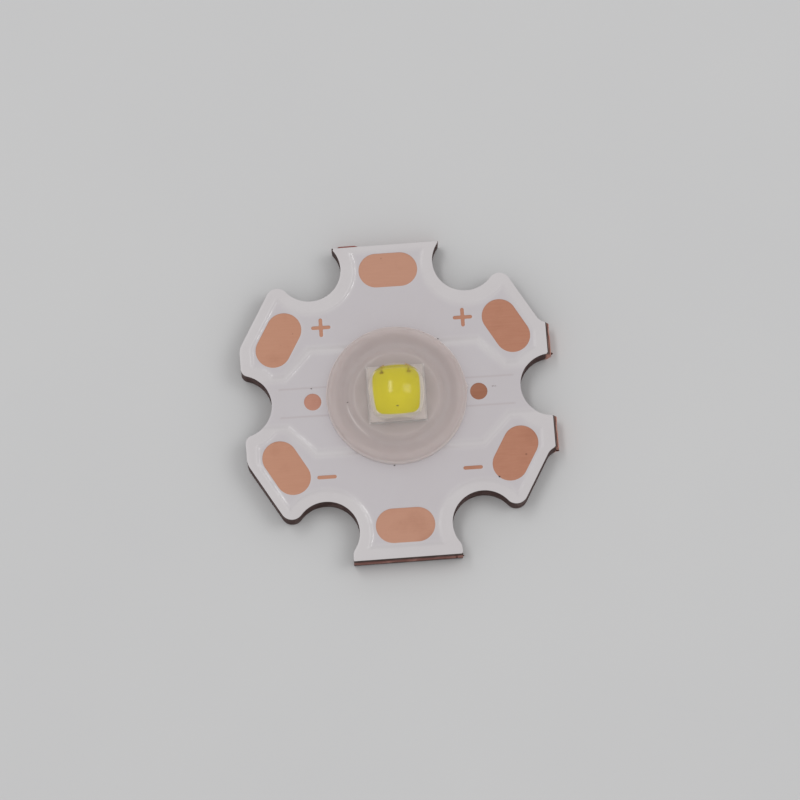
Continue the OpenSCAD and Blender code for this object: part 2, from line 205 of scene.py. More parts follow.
def smooth(t):
    """Eases from 0 to 1: t squared times (3 - 2t), with t held between 0 and 1."""
    t = np.clip(t, 0, 1)
    return t * t * (3 - 2 * t)


def turned(points, turn):
    """Points turned about the middle by an angle."""
    c, s = np.cos(np.radians(turn)), np.sin(np.radians(turn))
    return np.asarray(points) @ np.array([[c, s], [-s, c]])


def bearing(start, end):
    """Direction from one point to another."""
    return np.degrees(np.arctan2(end[1] - start[1], end[0] - start[0]))


def arc(centre, radius, start, end, steps):
    """Points on a circle from one direction to another: centre + radius (cos a, sin a)."""
    a = np.radians(np.linspace(start, end, steps + 1))
    return np.asarray(centre) + radius * np.stack([np.cos(a), np.sin(a)], -1)


def line(start, end, steps):
    """Points spread evenly between two ends."""
    return np.linspace(start, end, steps + 1)


def chain(stretches):
    """Joins stretches end to end, each meeting point kept once."""
    return np.concatenate([s[:-1] for s in stretches[:-1]] + [stretches[-1]])


def lip_centre(edge, notch, side, radius):
    """Centre of the round lip between the edge x = edge and a notch: a radius inside the edge and a
    radius outside the notch's circle."""
    x = edge - radius
    return np.array([x, notch[1] + side * np.sqrt((NOTCH_R + radius) ** 2 - (x - notch[0]) ** 2)])


def upper_arm(cut):
    """The outline from a slanted flat's upper end round its notch to the middle of the arm's cut edge."""
    notch = turned([NOTCH_C, 0], 60)
    flat_lip = lip_centre(FLAT_D, turned([NOTCH_C, 0], 30), -1, CORNER_R)
    lip = turned(flat_lip, 30)
    arm_lip = lip_centre(ARM_HALF, notch, 1, CORNER_R)
    reach = np.degrees(np.arcsin(np.clip((cut - arm_lip[1]) / CORNER_R, -1, 0)))
    stretches = [
        arc(lip, CORNER_R, 30, bearing(lip, notch), 16),
        arc(notch, NOTCH_R, bearing(notch, lip), bearing(notch, arm_lip) - 360, 56),
        arc(arm_lip, CORNER_R, bearing(arm_lip, notch), reach, 8),
    ]
    if cut > arm_lip[1]:
        stretches.append(line([ARM_HALF, arm_lip[1]], [ARM_HALF, cut], 4))
    stretches.append(line([stretches[-1][-1][0], cut], [0, cut], 40))
    return chain(stretches), turned([FLAT_D, flat_lip[1]], 30)


def right_side(cut, tab):
    """The outline from the right-hand notch's middle over the tab, its fillet and the flat to the arm."""
    arm, flat_end = upper_arm(cut)
    notch = np.array([NOTCH_C, 0])
    fillet = turned([FLAT_D + TAB_FILLET_R, -TAB_START], 30)
    tab_low = np.array([tab, np.sqrt(NOTCH_R ** 2 - (tab - NOTCH_C) ** 2)])
    tab_high = np.array([tab, fillet[1] - np.sqrt(TAB_FILLET_R ** 2 - (tab - fillet[0]) ** 2)])
    return chain([
        arc(notch, NOTCH_R, 180, bearing(notch, tab_low), 28),
        line(tab_low, tab_high, 24),
        arc(fillet, TAB_FILLET_R, bearing(fillet, tab_high), -150, 10),
        line(turned([FLAT_D, -TAB_START], 30), flat_end, 30),
        arm,
    ])


def left_side(cut):
    """The outline from the left-hand notch's middle over its lip, edge and flat to the arm, mirrored."""
    arm, flat_end = upper_arm(cut)
    notch = np.array([NOTCH_C, 0])
    lip = lip_centre(LEFT_EDGE, notch, 1, LEFT_NOTCH_R)
    bend_x = LEFT_EDGE - LEFT_FLAT_R
    slant = np.radians(30)
    bend = np.array([bend_x, (FLAT_D - LEFT_FLAT_R - bend_x * np.cos(slant)) / np.sin(slant)])
    return chain([
        arc(notch, NOTCH_R, 180, bearing(notch, lip), 28),
        arc(lip, LEFT_NOTCH_R, bearing(lip, notch), 0, 10),
        line([LEFT_EDGE, lip[1]], [LEFT_EDGE, bend[1]], 8),
        arc(bend, LEFT_FLAT_R, 0, 30, 8),
        line(bend + turned([LEFT_FLAT_R, 0], 30), flat_end, 30),
        arm,
    ])


def star_outline(z):
    """The board's outline at a height, counter-clockwise from the right-hand notch. The scored edges lie
    in at both faces and out by the web's width at mid height; the rest is the same all the way up."""
    out = np.clip(min(z, MASK_TOP - z) / SCORE_DEPTH, 0, 1)
    top, bottom = TOP_EDGE + SCORE_W * out, BOTTOM_EDGE + SCORE_W * out
    tab = TAB_EDGE + TAB_WEB_W * out
    quarters = [
        right_side(top, tab),
        left_side(top)[::-1] * [-1, 1],
        left_side(bottom) * [-1, -1],
        right_side(bottom, tab)[::-1] * [1, -1],
    ]
    return turned(np.concatenate([q[:-1] for q in quarters]), ROUTE_TURN) + ROUTE_SHIFT


def loop_distance(x, y, loop):
    """Signed distance to a closed line, below zero inside: the least distance to its straight steps, with
    the sign from how often a level ray crosses it."""
    best = np.full(x.shape, np.inf)
    inside = np.zeros(x.shape, bool)
    for (ax, ay), (bx, by) in zip(loop, np.roll(loop, -1, 0)):
        ex, ey = bx - ax, by - ay
        t = np.clip(((x - ax) * ex + (y - ay) * ey) / (ex * ex + ey * ey), 0, 1)
        best = np.minimum(best, (x - ax - t * ex) ** 2 + (y - ay - t * ey) ** 2)
        if ey:
            inside ^= ((ay > y) != (by > y)) & (x < ax + (y - ay) * ex / ey)
    return np.where(inside, -1, 1) * np.sqrt(best)


def bar_distance(u, v, length, width):
    """Signed distance to a bar with round ends that lies along u."""
    return np.hypot(np.maximum(np.abs(u) - (length - width) / 2, 0), v) - width / 2


def block_distance(x, y, half_x, half_y):
    """Signed distance to a rectangle, taken as the larger of the distances to its sides."""
    return np.maximum(np.abs(x) - half_x, np.abs(y) - half_y)


def foil_distance(x, y):
    """Signed distance to the foil under the lacquer, below zero on foil: the hexagon of live foil less the
    notches, the heat island and its gap, with the necks and the island put in by max and min."""
    ax, ay = np.abs(x), np.abs(y)
    hexagon = np.maximum(ay, ax * np.cos(np.radians(30)) + ay * np.sin(np.radians(30))) - FOIL_D
    slant = (ax + ay - ISLAND_HALF_W - ISLAND_HALF_H) / np.sqrt(2)
    field = np.minimum(np.maximum(ay - ISLAND_HALF_H, slant), ay - ISLAND_ARM_HALF)
    neck = np.maximum(ax - NECK_HALF_W, NECK_INNER - ay)
    centres = [turned([NOTCH_C, 0], turn) for turn in range(0, 360, 60)]
    notch = np.min([np.hypot(x - cx, y - cy) for cx, cy in centres], axis=0)
    limits = [np.minimum(FOIL_GAP - field, neck), hexagon, ax - LIVE_END, FOIL_NOTCH_R - notch]
    live = np.max(limits, axis=0)
    island = np.max([field, ax - ISLAND_END, NECK_GAP - neck], axis=0)
    return np.minimum(live, island)


def opening_distance(x, y):
    """Signed distance to the openings in the lacquer: pads, dots, plus and minus signs, solder lands."""
    found = []
    for turn in range(30, 360, 60):
        c, s = np.cos(np.radians(turn)), np.sin(np.radians(turn))
        found.append(bar_distance(y * c - x * s, x * c + y * s - PAD_C, PAD_L, PAD_W))
    for px, py in DOT_PLACES:
        found.append(np.hypot(x - px, y - py) - DOT_D / 2)
    for px, py in PLUS_PLACES:
        found.append(bar_distance(y - py, x - px, SIGN_L, SIGN_W))
    for px, py in PLUS_PLACES + MINUS_PLACES:
        found.append(bar_distance(x - px, y - py, SIGN_L, SIGN_W))
    for py, width in ((-LAND_PITCH, LIVE_LAND_W), (0, HEAT_LAND_W), (LAND_PITCH, LIVE_LAND_W)):
        found.append(block_distance(x, y - py, LAND_L / 2, width / 2))
    return np.min(found, axis=0)


def rows_of_quads(rows, columns, closed_rows=False):
    """Four-cornered faces between neighbouring rows of points, each row closed on itself."""
    i = np.arange(rows if closed_rows else rows - 1)[:, None]
    j = np.arange(columns)[None, :]
    k, after = (i + 1) % rows, (j + 1) % columns
    corners = [i * columns + j, i * columns + after, k * columns + after, k * columns + j]
    return np.stack(np.broadcast_arrays(*corners), -1).reshape(-1, 4)


def loft(loops):
    """A closed solid through a stack of loops, from the lowest up, with a flat face at each end."""
    rows, columns = loops.shape[:2]
    ends = np.arange(columns)
    faces = [rows_of_quads(rows, columns), ends[None, ::-1], ends[None, :] + (rows - 1) * columns]
    return loops.reshape(-1, 3), faces


def hoop(loops):
    """A closed solid with a hole through it: the last loop of the stack joins the first."""
    rows, columns = loops.shape[:2]
    return loops.reshape(-1, 3), [rows_of_quads(rows, columns, True)]


def raised(loop, z):
    """A flat loop of points set at a height, or at a height for each point."""
    return np.concatenate([loop, np.broadcast_to(np.asarray(z, float), len(loop))[:, None]], 1)


def drawn_in(loop, distance):
    """A loop moved inwards along its own normals."""
    along = np.roll(loop, -1, 0) - np.roll(loop, 1, 0)
    along /= np.linalg.norm(along, axis=1, keepdims=True)
    return loop + distance * np.stack([-along[:, 1], along[:, 0]], -1)


def gathered(solids):
    """Several solids as one list of points and faces."""
    points, faces, start = [], [], 0
    for solid_points, solid_faces in solids:
        points.append(solid_points)
        faces += [f + start for f in solid_faces]
        start += len(solid_points)
    return np.concatenate(points), faces


def plate(x_lines, y_lines, edge, top, bottom):
    """A closed sheet over a grid of lines. Grid corners near edge(x, y) = 0 move on to it along the slope of
    edge, the grid's triangles are cut where it changes sign, and what lies below zero is kept. The sheet
    lies between bottom(x, y) and top(x, y), with walls along its rim. Returns points, faces, x and y."""
    x, y = np.meshgrid(x_lines, y_lines)
    d = edge(x, y)
    slope_y, slope_x = np.gradient(d, y_lines, x_lines)
    steep = np.maximum(slope_x ** 2 + slope_y ** 2, LEAST_STEEP)
    cell = np.minimum(np.gradient(x_lines)[None, :], np.gradient(y_lines)[:, None])
    near = np.abs(d) < SNAP * cell
    x = np.where(near, x - d * slope_x / steep, x).ravel()
    y = np.where(near, y - d * slope_y / steep, y).ravel()
    ids = np.arange(d.size).reshape(d.shape)
    d = np.where(near, 0, d).ravel()
    a, b, c, e = ids[:-1, :-1], ids[:-1, 1:], ids[1:, 1:], ids[1:, :-1]
    triangles = np.concatenate([np.stack([a, b, c], -1), np.stack([a, c, e], -1)]).reshape(-1, 3)
    # triangles with every corner on the rim are kept by their middle
    rim_only = (d[triangles] == 0).all(1)
    middle = edge(x[triangles].mean(1), y[triangles].mean(1))
    triangles = triangles[~rim_only | (middle < 0)]
    # one new point on each side that crosses the rim
    after = np.roll(triangles, -1, 1)
    crossing = d[triangles] * d[after] < 0
    low, high = np.minimum(triangles, after)[crossing], np.maximum(triangles, after)[crossing]
    sides, which = np.unique(low * d.size + high, return_inverse=True)
    low, high = sides // d.size, sides % d.size
    t = d[low] / (d[low] - d[high])
    cuts = np.full(triangles.shape, -1)
    cuts[crossing] = d.size + which
    x = np.concatenate([x, x[low] + t * (x[high] - x[low])])
    y = np.concatenate([y, y[low] + t * (y[high] - y[low])])
    # each triangle's kept corners and cuts, in order
    corners = np.stack([np.where(d[triangles] <= 0, triangles, -1), cuts], -1).reshape(-1, 6)
    kept = corners >= 0
    corners = np.take_along_axis(corners, np.argsort(~kept, axis=1, kind="stable"), 1)
    count = kept.sum(1)
    faces = [corners[count == n][:, :n] for n in (3, 4)]
    used, renamed = np.unique(np.concatenate([f.ravel() for f in faces]), return_inverse=True)
    x, y = x[used], y[used]
    threes = faces[0].size
    faces = [renamed[:threes].reshape(-1, 3), renamed[threes:].reshape(-1, 4)]
    # sides that only one face has are the rim
    start = np.concatenate([f.ravel() for f in faces])
    end = np.concatenate([np.roll(f, -1, 1).ravel() for f in faces])
    _, first, times = np.unique(
        np.minimum(start, end) * len(x) + np.maximum(start, end), return_index=True, return_counts=True)
    rim = first[times == 1]
    start, end = start[rim], end[rim]
    n = len(x)
    walls = np.stack([start + n, end + n, end, start], -1)
    points = np.concatenate([np.stack([x, y, top(x, y)], -1), np.stack([x, y, bottom(x, y)], -1)])
    return points, faces + [f[:, ::-1] + n for f in faces] + [walls], x, y


def add_piece(name, solid, finishes, replaced=(), sharp=38, marks=None):
    """Makes a piece from points and faces. The finishes are one for all, or one for each list of faces.
    Sides that bend more than sharp stay crisp, and marks are values stored on the points."""
    points, faces = solid
    counts = np.concatenate([np.full(len(f), f.shape[1]) for f in faces])
    several = len(finishes) > 1
    which = np.concatenate([np.full(len(f), k if several else 0) for k, f in enumerate(faces)])
    corners = np.concatenate([f.ravel() for f in faces])
    mesh = bpy.data.meshes.new(name)
    mesh.vertices.add(len(points))
    mesh.vertices.foreach_set("co", (points * MM).astype(np.float32).ravel())
    mesh.loops.add(len(corners))
    mesh.loops.foreach_set("vertex_index", corners.astype(np.int32))
    mesh.polygons.add(len(counts))
    mesh.polygons.foreach_set("loop_start", (np.cumsum(counts) - counts).astype(np.int32))
    for finish in finishes:
        mesh.materials.append(finish)
    mesh.polygons.foreach_set("material_index", which.astype(np.int32))
    mesh.update(calc_edges=True)
    mesh.shade_smooth()
    mesh.set_sharp_from_angle(angle=np.radians(sharp))
    for label, values in (marks or {}).items():
        mesh.attributes.new(label, "FLOAT", "POINT").data.foreach_set("value", values.astype(np.float32))
    piece = bpy.data.objects.new(name, mesh)
    bpy.context.scene.collection.objects.link(piece)
    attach(piece, "root")
    if replaced:
        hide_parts(*replaced)
    return piece


# Shader nodes

def feed(tree, socket, value):
    """Links an output to a socket, or sets the socket's own value."""
    if isinstance(value, bpy.types.NodeSocket):
        tree.links.new(value, socket)
    else:
        socket.default_value = value


def put(tree, kind, inputs=None, **settings):
    """Adds a shader node with its settings and inputs."""
    node = tree.nodes.new("ShaderNode" + kind)
    for name, value in settings.items():
        setattr(node, name, value)
    for name, value in (inputs or {}).items():
        feed(tree, node.inputs[name], value)
    return node


def mixed(tree, factor, a, b):
    """A colour between a and b by a factor."""
    return put(tree, "Mix", {0: factor, 6: a, 7: b}, data_type="RGBA").outputs[2]


def maths(tree, operation, *values):
    """One sum on one, two or three values."""
    return put(tree, "Math", dict(enumerate(values)), operation=operation).outputs[0]


def laid_over(tree, base, mask, share, tone):
    """A colour with a tone laid over it by a share of a mask."""
    return mixed(tree, maths(tree, "MULTIPLY", mask, share), base, tone)


def ranged(tree, value, low, high, to_low=0.0, to_high=1.0):
    """A value carried from one range to another, and held inside it."""
    return put(tree, "MapRange", {"Value": value, "From Min": low, "From Max": high,
                                  "To Min": to_low, "To Max": to_high}).outputs["Result"]


def spread(tree, value, low=0.0, high=1.0):
    """A noise carried from where most of its values lie to another range."""
    return ranged(tree, value, 0.3, 0.7, low, high)


def within(tree, length, limits):
    """From 0 to 1 as a length in metres goes from one limit to the other, which are in millimetres."""
    return ranged(tree, length, limits[0] * MM, limits[1] * MM)


def noise(tree, vector, scale, detail=3.0, roughness=0.55):
    """Smooth random values over space."""
    return put(tree, "TexNoise", {"Vector": vector, "Scale": scale, "Detail": detail,
                                  "Roughness": roughness}).outputs["Fac"]


def object_place(tree):
    """A point's place on its piece, in metres."""
    return put(tree, "TexCoord").outputs["Object"]


def axes_of(tree, vector):
    """The X, Y and Z of a vector."""
    return put(tree, "SeparateXYZ", {"Vector": vector}).outputs


def square_half(tree):
    """Half the side of the square about the upright axis that a point lies on: the larger of x and y."""
    place = axes_of(tree, object_place(tree))
    return maths(tree, "MAXIMUM", *[maths(tree, "ABSOLUTE", place[axis]) for axis in "XY"])


def facing_up(tree):
    """1 on faces that look up, and 0 on upright ones and those that look down."""
    normal = put(tree, "NewGeometry").outputs["Normal"]
    return ranged(tree, axes_of(tree, normal)["Z"], 0.4, 0.6)


def mark_of(tree, label):
    """A value stored on the piece's points."""
    return put(tree, "Attribute", attribute_name=label).outputs["Fac"]


def colour(red, green, blue):
    """A colour from its screen values, 0 to 255, as linear light."""
    c = np.array([red, green, blue]) / 255
    return (*np.where(c <= 0.04045, c / 12.92, ((c + 0.055) / 1.055) ** 2.4), 1.0)


def new_group(name, inputs, outputs):
    """An empty node group with its named sockets."""
    tree = bpy.data.node_groups.new(name, "ShaderNodeTree")
    for label, value in inputs.items():
        kind = "NodeSocketVector" if isinstance(value, tuple) else "NodeSocketFloat"
        tree.interface.new_socket(label, in_out="INPUT", socket_type=kind).default_value = value
    for label in outputs:
        tree.interface.new_socket(label, in_out="OUTPUT", socket_type="NodeSocketFloat")
    return tree, tree.nodes.new("NodeGroupInput").outputs, tree.nodes.new("NodeGroupOutput").inputs


def make_grain():
    """Soft blotches and fine grain, as two values."""
    tree, given, result = new_group("Grain", {"Scale": 600.0, "Fineness": 10.0}, ("Blotch", "Grain"))
    place = object_place(tree)
    fine = maths(tree, "MULTIPLY", given["Scale"], given["Fineness"])
    feed(tree, result["Blotch"], noise(tree, place, given["Scale"]))
    feed(tree, result["Grain"], noise(tree, place, fine))
    return tree


def make_streaks():
    """Noise drawn out along the axis with the smallest stretch: brushed, rolled and routed marks."""
    tree, given, result = new_group("Streaks", {"Stretch": (400.0, 6000.0, 400.0)}, ("Streak",))
    stretched = put(tree, "VectorMath", {0: object_place(tree), 1: given["Stretch"]}, operation="MULTIPLY")
    feed(tree, result["Streak"], noise(tree, stretched.outputs[0], 1.0, 4.0, 0.6))
    return tree


def make_tarnish():
    """Patches where metal has dulled: broad noise with a fairly sharp edge, broken up by finer noise."""
    tree, given, result = new_group("Tarnish", {"Scale": 250.0, "Cover": 0.5}, ("Patch",))
    broad = noise(tree, object_place(tree), given["Scale"], 5.0, 0.65)
    edge = maths(tree, "SUBTRACT", 1.0, given["Cover"])
    rise = maths(tree, "MULTIPLY", maths(tree, "SUBTRACT", broad, edge), 6.0)
    feed(tree, result["Patch"], ranged(tree, rise, -0.5, 0.5))
    return tree


def make_dust():
    """Sparse small specks: the near middles of scattered cells, thinned out by chance."""
    tree, given, result = new_group("Dust", {"Scale": 2500.0, "Amount": 0.5}, ("Speck",))
    cells = put(tree, "TexVoronoi", {"Vector": object_place(tree), "Scale": given["Scale"]})
    near = ranged(tree, cells.outputs["Distance"], 0.12, 0.2, 1.0, 0.0)
    chance = put(tree, "SeparateColor", {"Color": cells.outputs["Color"]}).outputs["Red"]
    chosen = maths(tree, "LESS_THAN", chance, given["Amount"])
    feed(tree, result["Speck"], maths(tree, "MULTIPLY", near, chosen))
    return tree


GRAIN = make_grain()
STREAKS = make_streaks()
TARNISH = make_tarnish()
DUST = make_dust()


def use(tree, group, **inputs):
    """Places a group in a material with its own values."""
    return put(tree, "Group", inputs, node_tree=group).outputs


def new_finish(name, **plain):
    """A material with one Principled shader. The plain values are set on its sockets."""
    finish = bpy.data.materials.new(name)
    finish.use_nodes = True
    tree = finish.node_tree
    tree.nodes.clear()
    shader = put(tree, "BsdfPrincipled", {label.replace("_", " "): value for label, value in plain.items()})
    output = put(tree, "OutputMaterial", {"Surface": shader.outputs[0]})
    return finish, tree, shader.inputs, output


def roughen(tree, sockets, height, strength, depth):
    """Bump from a height that varies over the surface; depth is in millimetres."""
    bump = put(tree, "Bump", {"Height": height, "Strength": strength, "Distance": depth * MM})
    feed(tree, sockets["Normal"], bump.outputs[0])


def copper_foil(name, left, right, pale, cover):
    """Bare foil: satin copper with a fine brushed lay, dulled in patches, browner to the right and paler on
    the top and bottom arms."""
    finish, tree, sockets, _ = new_finish(name, Metallic=0.6, IOR=1.45)
    place = axes_of(tree, object_place(tree))
    base = mixed(tree, within(tree, place["X"], FOIL_TONE), left, right)
    base = mixed(tree, within(tree, maths(tree, "ABSOLUTE", place["Y"]), ARM_TONE), base, pale)
    brushed = use(tree, STREAKS, Stretch=(700.0, 9000.0, 700.0))["Streak"]
    base = mixed(tree, ranged(tree, brushed, 0.35, 0.65, 0.0, 0.12), base, colour(198, 152, 130))
    patch = use(tree, TARNISH, Scale=300.0, Cover=cover)["Patch"]
    base = laid_over(tree, base, patch, 0.22, colour(152, 104, 82))
    speck = use(tree, DUST, Scale=2600.0, Amount=0.03)["Speck"]
    feed(tree, sockets["Base Color"], laid_over(tree, base, speck, 0.5, colour(96, 62, 48)))
    feed(tree, sockets["Roughness"], ranged(tree, patch, 0.0, 1.0, 0.45, 0.58))
    roughen(tree, sockets, brushed, 0.2, 0.004)
    return finish


def white_lacquer():
    """White solder lacquer: a skin that is a shade darker over foil and darker still along the heat bar's
    edges, a painted shade in the dip there, with soft blotches and a few specks. Broken stretches of the
    steps' brinks are glossier."""
    finish, tree, sockets, _ = new_finish("White_lacquer", IOR=1.45, Coat_Roughness=0.06)
    over_foil, groove_shade, brink = [mark_of(tree, label) for label in ("over_foil", "groove_shade", "brink")]
    base = mixed(tree, over_foil, colour(196, 192, 193), colour(187, 182, 185))
    grain = use(tree, GRAIN, Scale=260.0, Fineness=14.0)
    base = mixed(tree, ranged(tree, grain["Blotch"], 0.35, 0.7, 0.0, 0.3), base, colour(183, 176, 178))
    # painted shade along the heat bar's edges, where the lacquer dips
    base = laid_over(tree, base, groove_shade, 0.6, colour(172, 162, 163))
    speck = use(tree, DUST, Scale=900.0, Amount=0.008)["Speck"]
    feed(tree, sockets["Base Color"], laid_over(tree, base, speck, 0.5, colour(120, 108, 104)))
    feed(tree, sockets["Roughness"], spread(tree, grain["Grain"], 0.28, 0.38))
    dashes = ranged(tree, use(tree, GRAIN, Scale=1900.0, Fineness=3.0)["Blotch"], 0.46, 0.54)
    feed(tree, sockets["Coat Weight"], maths(tree, "MULTIPLY", dashes, brink))
    roughen(tree, sockets, grain["Grain"], 0.1, 0.01)
    return finish


def sheet_copper():
    """The core's flat faces: rolled copper with long fine marks and dull patches."""
    finish, tree, sockets, _ = new_finish("Sheet_copper", Metallic=0.9)
    rolled = use(tree, STREAKS, Stretch=(160.0, 5200.0, 160.0))["Streak"]
    patch = use(tree, TARNISH, Scale=210.0, Cover=0.52)["Patch"]
    base = mixed(tree, spread(tree, rolled), colour(188, 128, 104), colour(214, 158, 132))
    feed(tree, sockets["Base Color"], laid_over(tree, base, patch, 0.5, colour(142, 88, 66)))
    feed(tree, sockets["Roughness"], ranged(tree, patch, 0.0, 1.0, 0.3, 0.5))
    roughen(tree, sockets, rolled, 0.3, 0.006)
    return finish


def cut_copper():
    """The core's edges: dark on the routed walls and the scored slopes, a painted shade, pinker along the
    web that was snapped at mid height and bright on the tabs' scored slopes, a painted light from the
    right-hand lamp, with a dark line along them, close marks round the edge and a red burr."""
    finish, tree, sockets, _ = new_finish("Cut_copper", Metallic=0.5, IOR=1.45)
    place = axes_of(tree, object_place(tree))
    away = maths(tree, "ABSOLUTE", maths(tree, "SUBTRACT", place["Z"], MASK_TOP / 2 * MM))
    snapped = mark_of(tree, "snapped")
    web = maths(tree, "MULTIPLY", within(tree, away, WEB_TONE), snapped)
    tab = maths(tree, "MULTIPLY", within(tree, place["X"], TAB_PAINTED_LIGHT), snapped)
    from_ridge = maths(tree, "ABSOLUTE", maths(tree, "SUBTRACT", place["Z"], SCORE_RIDGE * MM))
    tab = maths(tree, "MULTIPLY", tab, within(tree, from_ridge, RIDGE_LINE))
    routed = use(tree, STREAKS, Stretch=(900.0, 900.0, 16000.0))["Streak"]
    patch = use(tree, TARNISH, Scale=700.0, Cover=0.55)["Patch"]
    # painted shade: all cut copper starts dark, for the shade on the routed walls and scored slopes
    base = mixed(tree, spread(tree, routed), colour(58, 27, 22), colour(94, 52, 42))
    base = mixed(tree, web, base, colour(168, 108, 95))
    base = laid_over(tree, base, patch, 0.45, colour(42, 20, 16))
    # painted light: the right-hand tabs are brightened as if lit by the lamp on the right
    base = mixed(tree, tab, base, colour(196, 142, 126))
    burr = within(tree, place["Y"], BURR_TONE)
    feed(tree, sockets["Base Color"], mixed(tree, burr, base, colour(150, 72, 62)))
    feed(tree, sockets["Roughness"], ranged(tree, patch, 0.0, 1.0, 0.4, 0.6))
    roughen(tree, sockets, routed, 0.6, 0.02)
    return finish


def dark_insulation():
    """The filled resin sheet, seen only as a dark cut edge."""
    finish, tree, sockets, _ = new_finish("Dark_insulation", IOR=1.5)
    grain = use(tree, GRAIN, Scale=2500.0, Fineness=5.0)
    feed(tree, sockets["Base Color"], mixed(tree, grain["Blotch"], colour(44, 34, 30), colour(74, 58, 50)))
    feed(tree, sockets["Roughness"], spread(tree, grain["Grain"], 0.5, 0.8))
    roughen(tree, sockets, grain["Grain"], 0.4, 0.01)
    return finish


def milky_plastic():
    """The ring's translucent moulding: light spreads inside it, with a faint haze and a soft gloss. It is
    darker towards the middle and greyer along the thick rim, a painted shade that offsets the light on
    the rim's top, paled on its outer wall and beside the package, a painted light where they lie in
    shade, and paler along its fine ridge, a painted highlight, where it also has a glossy coat."""
    finish, tree, sockets, _ = new_finish(
        "Milky_plastic", IOR=1.45, Subsurface_Weight=0.9, Subsurface_Scale=1.5 * MM,
        Subsurface_Radius=(1.0, 0.9, 0.88), Coat_Roughness=0.2)
    level = put(tree, "VectorMath", {0: object_place(tree), 1: (1.0, 1.0, 0.0)}, operation="MULTIPLY")
    reach = put(tree, "VectorMath", {0: level.outputs[0]}, operation="LENGTH").outputs["Value"]
    base = mixed(tree, within(tree, reach, DISH_TONE), colour(169, 158, 154), colour(176, 165, 163))
    # painted shade: the rim is greyed to offset the light on its top
    base = mixed(tree, within(tree, reach, RIM_PAINTED_SHADE), base, colour(169, 158, 156))
    # painted light: the outer wall is paled where it stands in shade
    base = mixed(tree, within(tree, reach, WALL_PAINTED_LIGHT), base, colour(220, 210, 207))
    # painted light: the plastic beside the package is paled to offset the shade there
    base = mixed(tree, within(tree, square_half(tree), BESIDE_PAINTED_LIGHT), base, colour(242, 234, 230))
    ridge = mark_of(tree, "ridge")
    # painted highlight along the fine ridge
    base = laid_over(tree, base, ridge, 0.6, colour(206, 197, 195))
    grain = use(tree, GRAIN, Scale=380.0, Fineness=9.0)
    base = mixed(tree, ranged(tree, grain["Blotch"], 0.35, 0.65, 0.0, 0.3), base, colour(182, 172, 170))
    speck = use(tree, DUST, Scale=1100.0, Amount=0.015)["Speck"]
    feed(tree, sockets["Base Color"], laid_over(tree, base, speck, 0.3, colour(132, 124, 120)))
    feed(tree, sockets["Roughness"], spread(tree, grain["Grain"], 0.42, 0.56))
    feed(tree, sockets["Coat Weight"], maths(tree, "MULTIPLY", ridge, 0.6))
    roughen(tree, sockets, grain["Grain"], 0.06, 0.01)
    return finish


def white_ceramic():
    """The package's fired ceramic: matt, fine-grained and faintly warm, and paler on its sawn upright sides,
    a painted light that offsets their shade.
    """
    finish, tree, sockets, _ = new_finish("White_ceramic", IOR=1.6)
    grain = use(tree, GRAIN, Scale=2200.0, Fineness=6.0)
    fired = mixed(tree, grain["Blotch"], colour(179, 168, 164), colour(188, 177, 173))
    # painted light: the upright sawn sides are paled to offset the shade on them
    sawn = mixed(tree, grain["Blotch"], colour(222, 212, 208), colour(232, 223, 219))
    feed(tree, sockets["Base Color"], mixed(tree, facing_up(tree), sawn, fired))
    feed(tree, sockets["Roughness"], spread(tree, grain["Grain"], 0.42, 0.58))
    roughen(tree, sockets, grain["Grain"], 0.2, 0.004)
    return finish


def yellow_phosphor():
    """The phosphor: a matt yellow powder in resin, grainy close up, with a few darker spots and a pale skirt
    of bare resin round it."""
    finish, tree, sockets, _ = new_finish("Yellow_phosphor", IOR=1.41)
    grain = use(tree, GRAIN, Scale=1500.0, Fineness=16.0)
    base = mixed(tree, grain["Blotch"], colour(188, 174, 6), colour(197, 184, 12))
    base = mixed(tree, ranged(tree, grain["Grain"], 0.4, 0.7, 0.0, 0.4), base, colour(172, 156, 8))
    speck = use(tree, DUST, Scale=3200.0, Amount=0.03)["Speck"]
    base = laid_over(tree, base, speck, 0.5, colour(120, 96, 20))
    resin = mixed(tree, grain["Blotch"], colour(209, 199, 187), colour(217, 208, 197))
    feed(tree, sockets["Base Color"], mixed(tree, mark_of(tree, "skirt"), base, resin))
    feed(tree, sockets["Roughness"], spread(tree, grain["Grain"], 0.6, 0.8))
    roughen(tree, sockets, grain["Grain"], 0.3, 0.004)
    return finish


def clear_silicone():
    """The cast dome: clear, faintly uneven in its gloss, frosted on its sawn upright sides, and open to the
    lamps' shadow rays so that they reach the chip."""
    finish, tree, sockets, output = new_finish("Clear_silicone", IOR=1.42, Transmission_Weight=1.0)
    grain = use(tree, GRAIN, Scale=900.0, Fineness=6.0)
    tint = mixed(tree, grain["Blotch"], (0.96, 0.96, 0.93, 1.0), (0.98, 0.98, 0.96, 1.0))
    sawn = within(tree, square_half(tree), SAWN_TONE)
    feed(tree, sockets["Base Color"], mixed(tree, sawn, tint, (0.6, 0.57, 0.55, 1.0)))
    cast = spread(tree, grain["Blotch"], 0.14, 0.19)
    feed(tree, sockets["Roughness"], maths(tree, "MULTIPLY_ADD", sawn, 0.4, cast))
    is_shadow = put(tree, "LightPath").outputs["Is Shadow Ray"]
    silicone = sockets["Base Color"].node.outputs[0]
    through = put(tree, "MixShader", {0: is_shadow, 1: silicone, 2: put(tree, "BsdfTransparent").outputs[0]})
    feed(tree, output.inputs["Surface"], through.outputs[0])
    return finish


def plain_metal(name, dark, light, roughness):
    """A small metal part: two tones in soft blotches, with grain in its gloss."""
    finish, tree, sockets, _ = new_finish(name, Metallic=0.9)
    grain = use(tree, GRAIN, Scale=2600.0, Fineness=6.0)
    feed(tree, sockets["Base Color"], mixed(tree, grain["Blotch"], dark, light))
    feed(tree, sockets["Roughness"], spread(tree, grain["Grain"], roughness - 0.08, roughness + 0.08))
    roughen(tree, sockets, grain["Grain"], 0.25, 0.004)
    return finish


